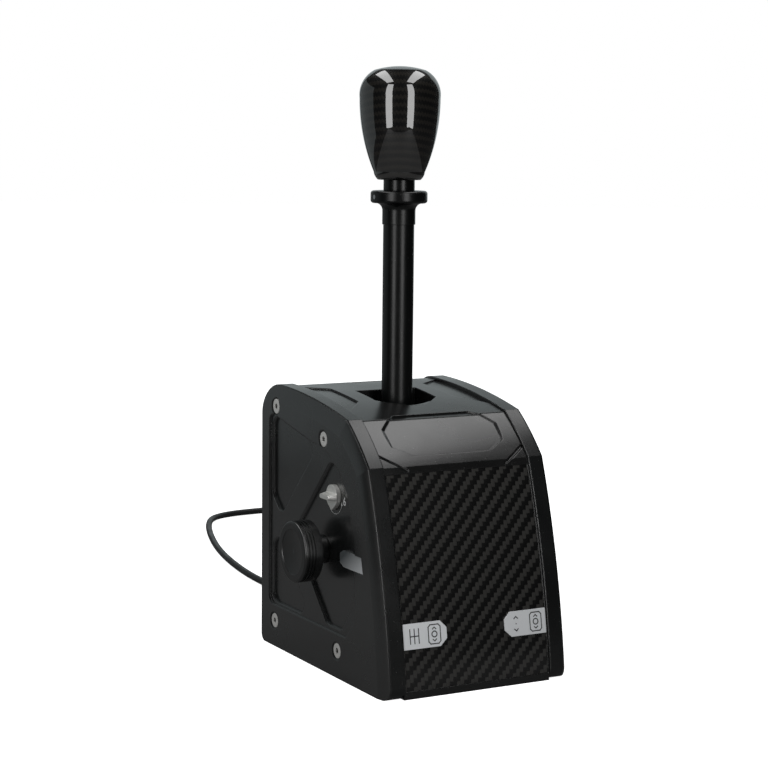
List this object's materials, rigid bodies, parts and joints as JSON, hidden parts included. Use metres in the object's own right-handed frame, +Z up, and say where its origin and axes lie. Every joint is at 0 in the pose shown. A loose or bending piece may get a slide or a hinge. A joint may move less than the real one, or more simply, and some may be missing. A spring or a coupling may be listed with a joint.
{
  "type": "sim racing gear shifter",
  "caption": "Desk-mounted racing gear shifter: tall lever with a carbon grip on a gimbal in a bevelled black body, with a mode knob, a speed dial and a coiled cable.",
  "frame": {"origin": "centre of the four mounting holes on the underside of the base, straight below the lever's pivot", "axes": "+X to the right and -X to the side with the mode knob, -Y to the carbon front, +Z up along the lever at rest"},
  "size_m": [0.2862, 0.5687, 0.3675],
  "materials": {
    "plate_black": "satin black anodised",
    "cover_black": "satin black moulding",
    "inner_metal": "machined",
    "carbon_sheet": "twill carbon laminate under clear resin",
    "grip_carbon": "twill carbon laminate under glossy lacquer",
    "lever_black": "satin black anodised",
    "badge_metal": "brushed and printed",
    "screw_steel": "turned stainless",
    "screw_black": "black oxide",
    "steel": "ground",
    "dial_metal": "polished",
    "knob_black": "soft satin",
    "bush_black": "turned",
    "switch_black": "moulded",
    "rubber_pad": "moulded",
    "board_green": "solder mask",
    "socket_white": "moulded",
    "cable_black": "satin jacket",
    "plug_black": "moulded grip",
    "plug_metal": "nickel plated"
  },
  "bodies": {
    "housing": {"left_side_plate": "plate_black", "right_side_plate": "plate_black", "side_badge": "badge_metal", "side_screws": "screw_steel", "frame_rods": "inner_metal", "rear_top_cover": "cover_black", "front_cover": "cover_black", "carbon_panel": "carbon_sheet", "left_pattern_badge": "badge_metal", "right_pattern_badge": "badge_metal", "rear_panel": "cover_black", "base_plate": "plate_black", "base_screws": "screw_steel", "left_cheek": "inner_metal", "right_cheek": "inner_metal", "left_bearing": "steel", "right_bearing": "steel", "stop_bars": "inner_metal", "stop_pads": "rubber_pad", "gate_plate": "steel", "gate_posts": "inner_metal", "main_board": "board_green", "board_posts": "inner_metal", "board_socket": "socket_white", "sensor_board": "board_green", "mode_bush": "bush_black", "dial_switch": "switch_black", "cable_gland": "switch_black", "strain_relief": "cable_black", "cable_lead": "cable_black", "cable_coil": "cable_black", "cable_tail": "cable_black", "plug_grip": "plug_black", "plug_shell": "plug_metal"},
    "gimbal": {"gimbal_ring": "steel", "lateral_pin": "steel", "pin_clips": "steel", "centring_spring": "steel", "trunnion_magnet": "steel"},
    "lever": {"lever_hub": "inner_metal", "lever_tail": "steel", "lever_shaft": "lever_black", "grip_collar": "lever_black", "collar_screw": "steel", "grip_neck": "lever_black", "grip_knob": "grip_carbon"},
    "mode": {"mode_knob": "knob_black", "mode_rod": "steel"},
    "dial": {"speed_dial": "dial_metal", "dial_rod": "steel"}
  },
  "joints": [
    {"name": "shift_fore_aft", "type": "hinge", "parent": "housing", "child": "gimbal", "pos_m": [0, 0, 0.126], "axis": [1, 0, 0], "range_deg": [-6, 6]},
    {"name": "shift_lateral", "type": "hinge", "parent": "gimbal", "child": "lever", "pos_m": [0, 0, 0.126], "axis": [0, 1, 0], "range_deg": [-8, 8], "stiffness_Nm_per_rad": 5},
    {"name": "mode_push", "type": "slide", "parent": "housing", "child": "mode", "axis": [1, 0, 0], "range_m": [0, 0.0055]},
    {"name": "speed_turn", "type": "hinge", "parent": "housing", "child": "dial", "pos_m": [-0.06, -0.0324, 0.1096], "axis": [-1, 0, 0], "range_deg": [0, 75]}
  ]
}
